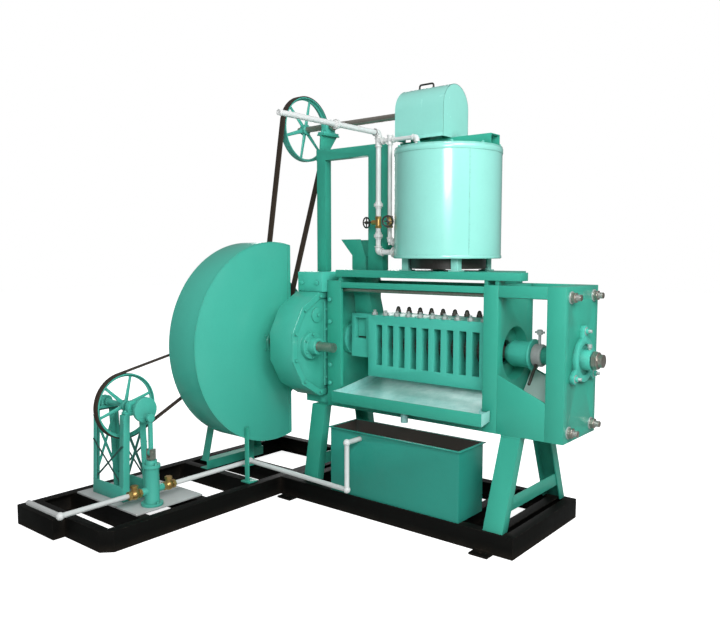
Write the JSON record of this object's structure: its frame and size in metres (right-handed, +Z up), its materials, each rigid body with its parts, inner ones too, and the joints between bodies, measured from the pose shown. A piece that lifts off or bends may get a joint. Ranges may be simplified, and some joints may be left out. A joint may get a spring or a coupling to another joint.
{
  "type": "screw oil press",
  "caption": "Screw oil press with gear drive, slatted pressing cage, adjustable choke, steam cooking kettle, oil tray, tank and belt-driven plunger pump on bolted skids.",
  "frame": {"origin": "underside of the main skid, in the middle of the cross member under the cage's feed end, below the worm axis", "axes": "+X along the worm shaft towards the cake outlet, +Y across to the rear of the press, +Z up; the longest side lies along X"},
  "size_m": [3.03, 2.5382, 2.8721],
  "materials": {
    "turquoise_paint": "satin paint",
    "turquoise_enamel": "gloss paint",
    "black_paint": "matt paint",
    "white_paint": "gloss paint",
    "grey_paint": "satin paint",
    "machined_steel": "machined",
    "dark_steel": "oiled",
    "zinc_sheet": "galvanised",
    "valve_brass": "cast",
    "belt_rubber": "matt",
    "cast_grey": "as cast"
  },
  "bodies": {
    "press_frame": {"main_skid": "black_paint", "pump_skid": "black_paint", "leg_frames": "turquoise_paint", "feed_end_frame": "turquoise_paint", "chamber_end_plate": "turquoise_paint", "end_frame": "turquoise_paint", "side_rails": "turquoise_paint", "tie_rods": "machined_steel", "housing_bolts": "machined_steel", "lining_bars": "dark_steel", "cage_front_half": "turquoise_paint", "cage_rear_half": "turquoise_paint", "cage_bolts": "machined_steel", "feed_throat": "turquoise_paint", "worm_bearings": "turquoise_paint", "gear_case": "turquoise_paint", "gear_cover": "turquoise_paint", "kettle_belt": "belt_rubber", "pump_belt": "belt_rubber", "belt_guard": "turquoise_enamel", "guard_supports": "turquoise_paint", "plummer_blocks": "turquoise_paint", "mast_portal": "turquoise_paint", "deck_frame": "turquoise_paint", "hopper": "turquoise_paint", "kettle_shell": "turquoise_enamel", "kettle_pan": "machined_steel", "kettle_lid": "turquoise_enamel", "lid_beam": "turquoise_paint", "kettle_chute": "turquoise_paint", "oil_tray": "zinc_sheet", "oil_tank": "turquoise_paint", "pump_stand": "turquoise_paint", "pump_base_plates": "grey_paint", "pump_cylinder": "turquoise_paint", "pump_pipework": "turquoise_paint", "valve_bodies": "valve_brass", "steam_pipework": "white_paint"},
    "drive_train": {"drive_shaft": "machined_steel", "pinion": "dark_steel", "main_pulley": "turquoise_paint", "belt_drive_pulleys": "turquoise_paint"},
    "worm": {"worm_shaft": "machined_steel", "worm_sections": "dark_steel", "bull_gear": "dark_steel"},
    "line_drive": {"line_shaft": "machined_steel", "top_pulley": "turquoise_paint", "bevel_pinion": "dark_steel"},
    "stirrer_drive": {"stirrer": "dark_steel", "bevel_wheel": "dark_steel"},
    "pump_crank": {"pump_crankshaft": "machined_steel", "pump_pulley": "turquoise_paint"},
    "pump_plunger": {"plunger": "machined_steel"},
    "pump_rod": {"connecting_rod": "turquoise_paint"},
    "choke": {"choke_cone": "machined_steel"},
    "choke_ring": {"choke_nut": "machined_steel"},
    "inlet_wheel": {"inlet_handwheel": "black_paint"},
    "bypass_wheel": {"bypass_handwheel": "black_paint"},
    "guard_box": {"box_guard": "turquoise_enamel"},
    "outlet_gate": {"discharge_gate": "zinc_sheet"}
  },
  "joints": [
    {"name": "drive_spin", "type": "hinge", "parent": "press_frame", "child": "drive_train", "pos_m": [-0.455, -0.38431, 1.084], "axis": [1, 0, 0], "continuous": true},
    {"name": "worm_spin", "type": "hinge", "parent": "press_frame", "child": "worm", "pos_m": [0.021, 0, 1.107], "axis": [1, 0, 0], "continuous": true},
    {"name": "line_spin", "type": "hinge", "parent": "press_frame", "child": "line_drive", "pos_m": [-0.7, 0, 2.631], "axis": [1, 0, 0], "continuous": true},
    {"name": "stirrer_spin", "type": "hinge", "parent": "press_frame", "child": "stirrer_drive", "pos_m": [0.554, 0, 1.683], "axis": [0, 0, 1], "continuous": true},
    {"name": "pump_spin", "type": "hinge", "parent": "press_frame", "child": "pump_crank", "pos_m": [-1, -1.39, 0.737], "axis": [1, 0, 0], "continuous": true},
    {"name": "plunger_slide", "type": "slide", "parent": "press_frame", "child": "pump_plunger", "axis": [0, 0, 1], "range_m": [0, 0.09]},
    {"name": "rod_swing", "type": "hinge", "parent": "pump_plunger", "child": "pump_rod", "pos_m": [-0.7322, -1.39, 0.47], "axis": [1, 0, 0], "range_deg": [-12, 12]},
    {"name": "choke_slide", "type": "slide", "parent": "press_frame", "child": "choke", "axis": [-1, 0, 0], "range_m": [0, 0.032]},
    {"name": "choke_turn", "type": "hinge", "parent": "choke", "child": "choke_ring", "pos_m": [1.17, 0, 1.107], "axis": [-1, 0, 0], "range_deg": [0, 1440]},
    {"name": "inlet_valve_turn", "type": "hinge", "parent": "press_frame", "child": "inlet_wheel", "pos_m": [0.146, -0.2, 1.92], "axis": [-1, 0, 0], "range_deg": [0, 1080]},
    {"name": "bypass_valve_turn", "type": "hinge", "parent": "press_frame", "child": "bypass_wheel", "pos_m": [0.24, -0.2, 1.92], "axis": [0.5, -0.866, 0], "range_deg": [0, 1080]},
    {"name": "guard_lift", "type": "slide", "parent": "press_frame", "child": "guard_box", "axis": [0, 0, 1], "range_m": [0, 0.15]},
    {"name": "gate_lift", "type": "slide", "parent": "press_frame", "child": "outlet_gate", "axis": [0, 0, 1], "range_m": [0, 0.06]}
  ],
  "couplings": [
    {"joint": "worm_spin", "follows": "drive_spin", "ratio": -0.24194},
    {"joint": "line_spin", "follows": "drive_spin", "ratio": 0.44872},
    {"joint": "stirrer_spin", "follows": "drive_spin", "ratio": -0.44872},
    {"joint": "pump_spin", "follows": "drive_spin", "ratio": 0.35885},
    {"joint": "choke_slide", "follows": "choke_turn", "m_per_rad": 0.0012732}
  ]
}
